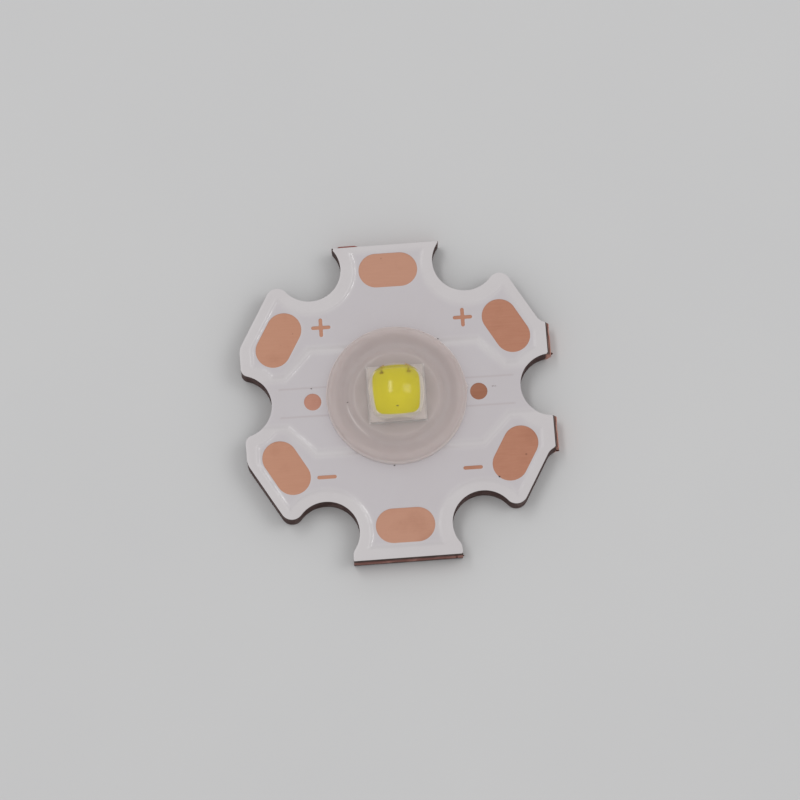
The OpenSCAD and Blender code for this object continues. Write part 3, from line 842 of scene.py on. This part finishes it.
def brown_chip():
    """The chip: olive brown where its top is bare under the bonds, and pale yellow on its sides, where the
    phosphor has run down."""
    finish, tree, sockets, _ = new_finish("Brown_chip", IOR=1.2)
    grain = use(tree, GRAIN, Scale=5000.0, Fineness=4.0)
    bare = mixed(tree, grain["Blotch"], colour(160, 132, 16), colour(174, 148, 26))
    coated = mixed(tree, grain["Blotch"], colour(214, 202, 96), colour(222, 212, 124))
    feed(tree, sockets["Base Color"], mixed(tree, facing_up(tree), coated, bare))
    feed(tree, sockets["Roughness"], spread(tree, grain["Grain"], 0.35, 0.55))
    roughen(tree, sockets, grain["Grain"], 0.15, 0.002)
    return finish


def dry_dirt(name, dark, light):
    """Specks of dirt: rough and uneven in tone."""
    finish, tree, sockets, _ = new_finish(name, IOR=1.4)
    grain = use(tree, GRAIN, Scale=9000.0, Fineness=4.0)
    feed(tree, sockets["Base Color"], mixed(tree, grain["Blotch"], dark, light))
    feed(tree, sockets["Roughness"], spread(tree, grain["Grain"], 0.7, 0.95))
    return finish


FINISH = {
    "lacquer": white_lacquer(),
    "live_foil": copper_foil(
        "Live_foil_copper", colour(177, 130, 107), colour(170, 118, 95), colour(179, 134, 113), 0.42),
    "heat_foil": copper_foil(
        "Heat_foil_copper", colour(180, 132, 116), colour(140, 90, 64), colour(176, 128, 108), 0.5),
    "sheet_copper": sheet_copper(),
    "cut_copper": cut_copper(),
    "insulation": dark_insulation(),
    "milky": milky_plastic(),
    "ceramic": white_ceramic(),
    "phosphor": yellow_phosphor(),
    "silicone": clear_silicone(),
    "gilt": plain_metal("Gilt", colour(196, 150, 70), colour(226, 186, 104), 0.3),
    "solder": plain_metal("Solder", colour(150, 150, 152), colour(196, 196, 198), 0.4),
    "chip": brown_chip(),
    "wire": plain_metal("Dull_wire", colour(190, 166, 44), colour(204, 182, 62), 0.55),
    "lint": dry_dirt("Dark_lint", colour(46, 40, 38), colour(92, 82, 78)),
    "smudge": dry_dirt("Pale_smudge", colour(160, 152, 152), colour(172, 165, 164)),
}

# The frame's own pieces that stay as they are
KEPT = {
    "live_foil": ("positive_trace", "negative_trace"),
    "heat_foil": ("thermal_island", "anode_vias", "cathode_links"),
    "solder": ("anode_solder", "cathode_solder", "thermal_solder", "die_attach"),
    "gilt": ("led_anode_pad", "led_cathode_pad", "led_thermal_pad", "wire_pads"),
    "ceramic": ("led_substrate",),
    "chip": ("led_die",),
}
for finish_name, node_names in KEPT.items():
    for node_name in node_names:
        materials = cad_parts[node_name].data.materials
        materials.clear()
        materials.append(FINISH[finish_name])


# Board

def ragged(count, seed, steps):
    """A smooth uneven row of values between 0 and 1, closed on itself."""
    knots = np.random.default_rng(seed).random(steps)
    places = np.linspace(0, steps, count, endpoint=False)
    return np.interp(places, np.arange(steps + 1), np.append(knots, knots[0]))


# Burrs on the snapped edges: a ragged strip at the left of the top edge, and lumps at x, y, z, size
BURR_X = (-3.1, -1.55)
BURR_EASE = (0.2, 0.4)  # lengths over which the strip's two ends rise
BURR_BAND = 0.2  # the strip's points lie no further below the top edge
BURR_OUT = 2.4  # how far it stands out past the web, in widths of the web
BURRS = (
    (9.7, 2.24, 0.8, 0.24),
    (9.66, -3.92, 0.8, 0.18),
    (3.0, -10.2, 0.8, 0.12),
    (3.38, -10.12, 0.85, 0.16),
)

# The core's edge
EDGE_ROUND = 0.05  # of the lower corner
WEB_MISSING = 0.25  # largest share of the snapped web that is missing
WEB_STEPS = 260  # uneven steps round the edge
SCORE_BAND = 0.3  # points on the top and bottom scores lie no further in from the top edge's place
SNAPPED_SHARE = 0.9  # a point that stands out by this share of the web is on a snapped edge

# Lumps: how narrow and low they are for their size, and how far their radius wavers
LUMP_NARROW = 0.7
LUMP_LOW = 0.25
LUMP_WAVER = (0.22, 0.12)


def core_loop(z, inset, seed):
    """The core's edge at one height. Where the board was snapped along a score, the web stands out by an
    uneven share of its width, and by more along a burr at the left of the top edge."""
    flush = star_outline(0)
    out = star_outline(z) - flush
    uneven = 1 - WEB_MISSING * ragged(len(flush), seed, WEB_STEPS)
    from_left, from_right = flush[:, 0] - BURR_X[0], BURR_X[1] - flush[:, 0]
    along_burr = smooth(from_left / BURR_EASE[0]) * smooth(from_right / BURR_EASE[1])
    burr = BURR_OUT * along_burr * (flush[:, 1] > TOP_EDGE - BURR_BAND) * smooth(out[:, 1] / SCORE_W)
    loop = flush + out * (uneven + burr)[:, None]
    return raised(drawn_in(loop, inset), z)


def lumps(places):
    """Small closed lumps at x, y, z with a size across: flattened balls whose radius wavers with direction
    and height."""
    turn = np.linspace(0, 2 * np.pi, 14, endpoint=False)
    lift = np.radians(np.linspace(-86, 86, 9))[:, None]
    solids = []
    for k, (x, y, z, size) in enumerate(places):
        broad, fine = np.sin(2 * turn + k), np.sin(5 * turn + 2 * k + 3 * lift)
        reach = size / 2 * (1 + LUMP_WAVER[0] * broad + LUMP_WAVER[1] * fine)
        solids.append(loft(np.stack([
            x + reach * np.cos(lift) * np.cos(turn),
            y + LUMP_NARROW * reach * np.cos(lift) * np.sin(turn),
            z + size * LUMP_LOW * np.sin(lift) + 0 * turn], -1)))
    return solids


def bar_loop():
    """The heat bar's outline: its corners and the middles of its ends, from the right-hand end's middle."""
    u, v = HEAT_BAR_HALF
    return np.array([[u, 0], [u, v], [-u, v], [-u, 0], [-u, -v], [u, -v]])


def star_core():
    """Copper core: the outline carried from the underside up, with a rounded lower edge, the heat bar that
    stands up through the insulation under the emitter, and burrs where the board was snapped."""
    round_turns = np.radians(np.linspace(0, 90, 4))
    low = [core_loop(EDGE_ROUND * (1 - np.cos(a)), EDGE_ROUND * (1 - np.sin(a)), 1) for a in round_turns]
    heights = np.concatenate([np.linspace(SCORE_DEPTH, MASK_TOP - SCORE_DEPTH, 7), [CORE_TOP]])
    walls = [core_loop(z, 0, seed) for seed, z in enumerate(heights, 2)]
    loops = np.stack(low + walls)
    heat_bar = loft(np.stack([raised(bar_loop(), CORE_TOP), raised(bar_loop(), SHEET_TOP)]))
    burrs = lumps(BURRS)
    points, faces = gathered([loft(loops), heat_bar] + burrs)
    finishes = [FINISH["cut_copper"], FINISH["sheet_copper"], FINISH["sheet_copper"]] * (2 + len(burrs))
    flush = star_outline(0)
    moved = np.linalg.norm(star_outline(MASK_TOP / 2) - flush, axis=1)
    web_w = np.where(np.abs(flush[:, 1]) > TOP_EDGE - SCORE_BAND, SCORE_W, TAB_WEB_W)
    scored = moved > SNAPPED_SHARE * web_w
    snapped = np.zeros(len(points))
    snapped[:loops.shape[0] * loops.shape[1]] = np.tile(scored, len(loops))
    add_piece(
        "star_core", (points, faces), finishes, ["copper_base"], marks={"snapped": snapped})


def insulation():
    """Insulating sheet: the outline between two heights, with a slot for the heat bar. Its top and its
    underside are each two halves that meet in line with the ends of the slot, whose middles are the slot's
    points 0 and 3."""
    rim, slot = star_outline(CORE_TOP), bar_loop()
    count, level = len(rim), len(rim) + len(slot)
    levels = [np.concatenate([star_outline(z), slot]) for z in (CORE_TOP, SHEET_TOP)]
    points = np.concatenate([raised(levels[0], CORE_TOP), raised(levels[1], SHEET_TOP)])
    faces = []
    for ring in (np.arange(count), np.arange(count, level)[::-1]):
        after = np.roll(ring, -1)
        faces.append(np.stack([ring, after, after + level, ring + level], -1))
    left = np.argmin(np.linalg.norm(rim - slot[3], axis=1))
    whole = np.arange(count + 1) % count
    upper = np.concatenate([whole[:left + 1], count + np.array([3, 2, 1, 0])])
    lower = np.concatenate([whole[left:], count + np.array([0, 5, 4, 3])])
    for half in (upper, lower):
        faces += [half[None, ::-1], half[None] + level]
    add_piece("insulation", (points, faces), [FINISH["insulation"]], ["dielectric_layer"])


def grid_lines(low, high, fine):
    """Lines a cell apart, with the cells halved within a reach of some places."""
    lines = np.arange(low, high + CELL, CELL)
    halves = lines[:-1] + CELL / 2
    near = np.any([np.abs(halves - place) < reach for place, reach in fine], axis=0)
    return np.sort(np.concatenate([lines, halves[near]]))


def lacquer():
    """White lacquer: a thin sheet over the board, open over the pads, dots, signs and solder lands. Its top
    lies a foil's thickness higher over foil, falls by the square of the distance from it, dips by a bell
    curve along the heat bar's edges and eases down at the sheet's own edges."""
    outline = star_outline(SHEET_TOP + LACQUER_T)

    def edge(x, y):
        """Signed distance to the sheet's edges."""
        return np.maximum(loop_distance(x, y, outline), -opening_distance(x, y))

    def rise(x, y):
        """1 over foil, falling to 0 beside it by the square of the distance."""
        return 1 - np.clip(foil_distance(x, y) / STEP_W, 0, 1) ** 2

    def groove(x, y):
        """A bell curve across each long edge of the heat bar."""
        return np.exp(-((np.abs(y) - HEAT_BAR_HALF[1]) / GROOVE_W) ** 2) * (np.abs(x) < HEAT_BAR_HALF[0])

    def marks_at(x, y):
        """What the finish reads: how far a point lies over foil, and how near to a brink or a groove."""
        from_foil = foil_distance(x, y)
        fade = smooth((x - GLOSS_FROM) / GLOSS_FADE)
        return {
            "over_foil": smooth(0.5 - from_foil / TONE_W),
            "brink": np.exp(-(from_foil / BRINK_W) ** 2) * (1 - GLOSS_LOSS * fade),
            # the mark for the painted shade along the heat bar's edges
            "groove_shade": groove(x, y),
        }

    def top(x, y):
        bare = SHEET_TOP + LACQUER_T
        height = bare + (MASK_TOP - bare) * rise(x, y)
        return height - GROOVE_DEEP * groove(x, y) - EDGE_DROP * smooth(1 + edge(x, y) / EDGE_W)

    def bottom(x, y):
        return np.where(foil_distance(x, y) < 0, FOIL_TOP, SHEET_TOP)

    low, high = outline.min(0) - CELL, outline.max(0) + CELL
    signs = np.array(PLUS_PLACES + MINUS_PLACES)
    fine_x = [(x, SIGN_L / 2 + CELL) for x in signs[:, 0]]
    fine_y = [(y, SIGN_L / 2 + CELL) for y in signs[:, 1]]
    fine_y += [(side * HEAT_BAR_HALF[1], 2 * CELL) for side in (-1, 1)]
    points, faces, x, y = plate(
        grid_lines(low[0], high[0], fine_x), grid_lines(low[1], high[1], fine_y), edge, top, bottom)
    marks = {label: np.tile(values, 2) for label, values in marks_at(x, y).items()}
    add_piece(
        "white_lacquer", (points, faces), [FINISH["lacquer"]], ["solder_mask"], marks=marks)


# Emitter and ring

TURNS = np.arange(256) * 360 / 256


def circle(radius, z):
    """A level circle; the radius may differ for each direction."""
    a = np.radians(TURNS)
    return np.stack([radius * np.cos(a), radius * np.sin(a), np.broadcast_to(z, a.shape)], -1)


def square_reach(half, corner):
    """Distance to the side of a square with rounded corners in each direction: a high-power mean of the
    two sides' distances rounds the corner."""
    a = np.radians(TURNS)
    power = 2 * half / corner
    return half / (np.abs(np.cos(a)) ** power + np.abs(np.sin(a)) ** power) ** (1 / power)


def eased_circles(start, end, steps):
    """Circles from one radius and height to another, with the height eased in and out."""
    run, rise = end[0] - start[0], end[1] - start[1]
    return [circle(start[0] + run * t, start[1] + rise * smooth(t)) for t in np.linspace(0, 1, steps)]


def centring_ring():
    """Milky ring: a turned section with a raised rim, a shallow dish and a low collar, lofted to the square
    window that touches the package, with a fine ridge along an arc and the moulding gate's stub on its
    edge."""
    window = square_reach(HALF_PACKAGE, WINDOW_CORNER_R)
    gate = smooth(1 - np.abs((TURNS - GATE_TURN + 180) % 360 - 180) / GATE_HALF) * GATE_OUT
    base, dish, collar = MASK_TOP, MASK_TOP + DISH_H, MASK_TOP + COLLAR_H
    loops = [circle(RING_R - FOOT + gate, base), circle(RING_R + gate, base + FOOT)]
    for share in GATE_SHARES:
        loops.append(circle(RING_R + gate * share, RIM_TOP - (GATE_TOP + share) * RIM_ROUND))
    for a in np.radians(np.linspace(0, 90, 9)):
        loops.append(circle(RING_R - RIM_ROUND * (1 - np.cos(a)), RIM_TOP - RIM_ROUND * (1 - np.sin(a))))
    loops += eased_circles((RIM_TOP_IN, RIM_TOP), (RIM_IN, dish), 15)
    before = len(loops)
    across = np.linspace(-1, 1, 9)
    along = (TURNS - RIDGE_FROM) / (RIDGE_TO - RIDGE_FROM)
    ridge = smooth(2 - 2 * np.abs(2 * along - 1)) * smooth(1 - np.abs(across))[:, None]
    for t, rise in zip(across, ridge):
        loops.append(circle(RIDGE_R - RIDGE_W / 2 * t, dish + RIDGE_H * rise))
    loops += eased_circles((COLLAR_OUT, dish), (COLLAR_IN, collar), 11)
    for t in (0.35, 0.7, 1.0):
        loops.append(circle(COLLAR_IN * (1 - t) + window * t, collar))
    loops.append(circle(window, base))
    # the ridge's mark, along which the finish lays a painted highlight and a glossy coat
    shine = np.zeros((len(loops), len(TURNS)))
    shine[before:before + len(ridge)] = ridge
    ring = add_piece(
        "centring_ring", hoop(np.stack(loops)), [FINISH["milky"]], ["centring_ring"],
        marks={"ridge": shine.ravel()})
    # the lamps shine through the thin milky plastic
    ring.visible_shadow = False


def dome():
    """Silicone dome: a cap of a sphere, cut off flush with the package's sides, on a film that covers the
    package. Its underside lies just inside the ceramic, so that the two meet with no air between them."""
    film_top = CERAMIC_TOP + FILM_T
    centre = DOME_TOP - DOME_R
    foot = np.degrees(np.arcsin((film_top - centre) / DOME_R))
    side = square_reach(HALF_PACKAGE, DOME_CORNER_R)
    loops = [circle(side - FILM_IN, CERAMIC_TOP - FILM_SUNK), circle(side, CERAMIC_TOP)]
    loops += [circle(side, film_top - FILM_ROUND), circle(side - SAWN_IN, film_top)]
    close_rows = np.linspace(foot, CLOSE_ROWS_TO, 26)
    upper_rows = np.linspace(CLOSE_ROWS_TO + 2, LAST_ROW, 36)
    for a in np.radians(np.concatenate([close_rows, upper_rows])):
        loops.append(circle(np.minimum(DOME_R * np.cos(a), side - 2 * SAWN_IN), centre + DOME_R * np.sin(a)))
    add_piece("dome", loft(np.stack(loops)), [FINISH["silicone"]], ["dome_lens"])


def phosphor():
    """Phosphor: a square layer over the chip with a skirt that eases down to the ceramic round it, and a
    hole over each bond. The yellow ends in round corners, and the skirt outside it is pale, but for the side
    that the wires cross."""
    middle_y = (CHIP_LOW[1] + CHIP_HIGH[1]) / 2
    half = (CHIP_HIGH[0] - CHIP_LOW[0]) / 2

    def beyond(x, y, half_side, corner):
        """Signed distance to a square with round corners about the chip's middle."""
        reach_x = np.maximum(np.abs(x) - half_side + corner, 0)
        reach_y = np.maximum(np.abs(y - middle_y) - half_side + corner, 0)
        return np.hypot(reach_x, reach_y) - corner

    def edge(x, y):
        """Signed distance to the skirt's edge and the holes over the bonds."""
        hole = bar_distance(np.abs(x) - BOND_X, y - CHIP_HIGH[1] + BOND_IN, BOND_W, BOND_L)
        return np.maximum(beyond(x, y, half + SKIRT_W, SKIRT_W), -hole)

    def top(x, y):
        fall = GLOW_HIGH[2] - CERAMIC_TOP - SKIRT_EDGE_T
        return GLOW_HIGH[2] - fall * smooth(beyond(x, y, half, 0) / SKIRT_W)

    def bottom(x, y):
        return np.where(beyond(x, y, half, 0) > SKIRT_EDGE_T, CERAMIC_TOP, CHIP_HIGH[2])

    past = half + SKIRT_W + GLOW_MARGIN
    lines = np.linspace(-past, past, GLOW_LINES)
    points, faces, x, y = plate(lines, lines + middle_y, edge, top, bottom)
    pale = smooth(0.5 + beyond(x, y, GLOW_HALF, GLOW_CORNER_R) / SKIRT_TONE_W)
    pale *= 1 - smooth((y - CHIP_HIGH[1]) / SKIRT_W + 0.5)
    marks = {"skirt": np.tile(pale, 2)}
    add_piece("phosphor", (points, faces), [FINISH["phosphor"]], ["phosphor_layer"], marks=marks)


def bond_wires():
    """Bond wires: a round section carried along one arc from the squashed ball on the chip to the pad, and
    pressed flat where it is stitched down."""
    pad_low, pad_high = span("wire_pads")
    pad_y = (pad_low[1] + pad_high[1]) / 2
    bond_y = CHIP_HIGH[1] - BOND_IN
    drop, run = CHIP_HIGH[2] - WIRE_PAD_TOP, pad_y - bond_y
    radius = (run ** 2 + drop ** 2) / (2 * run)
    sweep = np.pi - np.arcsin(drop / radius)
    a = np.linspace(0.0, sweep, 40)
    round_turn = np.linspace(0, 2 * np.pi, 16, endpoint=False)
    press = smooth(1 - a / STITCH_SWEEP)[:, None]
    out = radius + WIRE_R * (1 - STITCH_THINNED * press) * np.cos(round_turn)
    across = WIRE_R * (1 + press) * np.sin(round_turn)
    y = pad_y - radius + out * np.cos(a)[:, None]
    z = WIRE_PAD_TOP + out * np.sin(a)[:, None]
    lift = np.linspace(0, 1, 6)
    ball_reach = BALL_R * np.sqrt(1 - (lift * BALL_TOP_SHARE) ** 2)[:, None]
    ball_x, ball_y = ball_reach * np.cos(round_turn), bond_y + ball_reach * np.sin(round_turn)
    ball_z = np.broadcast_to(CHIP_HIGH[2] + BALL_H * lift[:, None], ball_x.shape)
    solids = []
    for x in (-BOND_X, BOND_X):
        solids.append(loft(np.stack([x - across, y, z], -1)))
        solids.append(loft(np.stack([x + ball_x, ball_y, ball_z], -1)))
    add_piece("bond_wires", gathered(solids), [FINISH["wire"]], ["bond_wires"], sharp=60)


# Dirt: x, y, height of its middle, size across
SPECKS = (
    (-0.42, -4.35, MASK_TOP, 0.11),
    (-3.04, -0.30, MASK_TOP + DISH_H, 0.09),
    (0.0, -0.68, GLOW_HIGH[2], 0.1),
    (-5.21, 0.85, MASK_TOP, 0.09),
    (5.95, -5.49, MASK_TOP, 0.12),
    (2.79, 3.50, MASK_TOP, 0.09),
)
SMUDGES = ((5.95, 0.27, MASK_TOP, 0.12), (6.1, 0.26, MASK_TOP, 0.1))


star_core()
insulation()
lacquer()
centring_ring()
dome()
phosphor()
bond_wires()
add_piece("specks", gathered(lumps(SPECKS)), [FINISH["lint"]])
add_piece("smudges", gathered(lumps(SMUDGES)), [FINISH["smudge"]])

# Floor, light and camera

FLOOR_HALF = 0.6
FLOOR_TONES = (colour(194, 194, 195), colour(199, 199, 199))


def pale_floor():
    """A wide level floor under the board, pale and matt."""
    finish, tree, sockets, _ = new_finish("Pale_floor", IOR=1.3)
    cloudy = use(tree, GRAIN, Scale=40.0, Fineness=20.0)
    feed(tree, sockets["Base Color"], mixed(tree, cloudy["Blotch"], *FLOOR_TONES))
    feed(tree, sockets["Roughness"], spread(tree, cloudy["Grain"], 0.8, 0.9))
    mesh = bpy.data.meshes.new("floor")
    side = FLOOR_HALF * np.array([[-1, -1], [1, -1], [1, 1], [-1, 1]])
    mesh.from_pydata(np.column_stack([side, np.zeros(4)]).tolist(), [], [(0, 1, 2, 3)])
    mesh.materials.append(finish)
    floor = bpy.data.objects.new("floor", mesh)
    bpy.context.scene.collection.objects.link(floor)


def axes_matrix(right, up, back, place):
    """A placement from its three directions and its point."""
    return Matrix([[*row, p] for row, p in zip(np.stack([right, up, back], -1), place)] + [[0, 0, 0, 1]])


# Lamps: direction from the board, distance in metres, width and height in metres, brightness
LAMPS = (
    ((-0.36, 0.24, 0.90), 0.6, 0.12, 0.46, 4.7),
    ((0.63, 0.08, 0.78), 0.6, 0.30, 0.30, 2.2),
)
SKY = 0.68


def light():
    """Two soft lamps and an even pale surround. A lamp's power is its brightness times pi times its area."""
    for k, (toward, distance, width, height, brightness) in enumerate(LAMPS):
        data = bpy.data.lights.new(f"soft_lamp_{k}", "AREA")
        data.shape = "RECTANGLE"
        data.size = width
        data.size_y = height
        data.energy = brightness * np.pi * width * height
        lamp = bpy.data.objects.new(data.name, data)
        bpy.context.scene.collection.objects.link(lamp)
        back = np.array(toward) / np.linalg.norm(toward)
        right = np.cross([0, 1, 0], back)
        right /= np.linalg.norm(right)
        lamp.matrix_world = axes_matrix(right, np.cross(back, right), back, back * distance)
    world = bpy.data.worlds.new("surround")
    bpy.context.scene.world = world
    world.use_nodes = True
    world.node_tree.nodes["Background"].inputs["Color"].default_value = (1, 1, 1, 1)
    world.node_tree.nodes["Background"].inputs["Strength"].default_value = SKY


# Camera: how the board is seen, its distance, and where its middle falls in the picture
CAMERA_TILT = 14.55
CAMERA_SPIN = 3.88
CAMERA_HEAD = -0.83
CAMERA_DISTANCE = 307.8
FOCAL_PIXELS = 5000
PICTURE = 800
MIDDLE_PIXEL = (396.63, 396.49)
SENSOR = 36
CLIP = (0.01, 10)


def about_z(turn):
    """A turn about the upright axis."""
    c, s = np.cos(np.radians(turn)), np.sin(np.radians(turn))
    return np.array([[c, -s, 0], [s, c, 0], [0, 0, 1]])


def camera():
    """The board turned by the spin, then tipped away about a level axis that the heading sets. The rows of
    the view are the camera's right, up and back."""
    c, s = np.cos(np.radians(CAMERA_TILT)), np.sin(np.radians(CAMERA_TILT))
    tip = np.array([[1, 0, 0], [0, c, s], [0, -s, c]])
    right, up, back = about_z(CAMERA_HEAD).T @ tip @ about_z(CAMERA_HEAD) @ about_z(CAMERA_SPIN)
    data = bpy.data.cameras.new("camera")
    data.sensor_width = SENSOR
    data.lens = SENSOR * FOCAL_PIXELS / PICTURE
    data.shift_x = 0.5 - MIDDLE_PIXEL[0] / PICTURE
    data.shift_y = MIDDLE_PIXEL[1] / PICTURE - 0.5
    data.clip_start, data.clip_end = CLIP
    view = bpy.data.objects.new("camera", data)
    bpy.context.scene.collection.objects.link(view)
    place = (np.array([0, 0, MASK_TOP]) + back * CAMERA_DISTANCE) * MM
    view.matrix_world = axes_matrix(right, up, back, place)
    bpy.context.scene.camera = view


pale_floor()
light()
camera()
bpy.context.scene.view_settings.view_transform = "Standard"
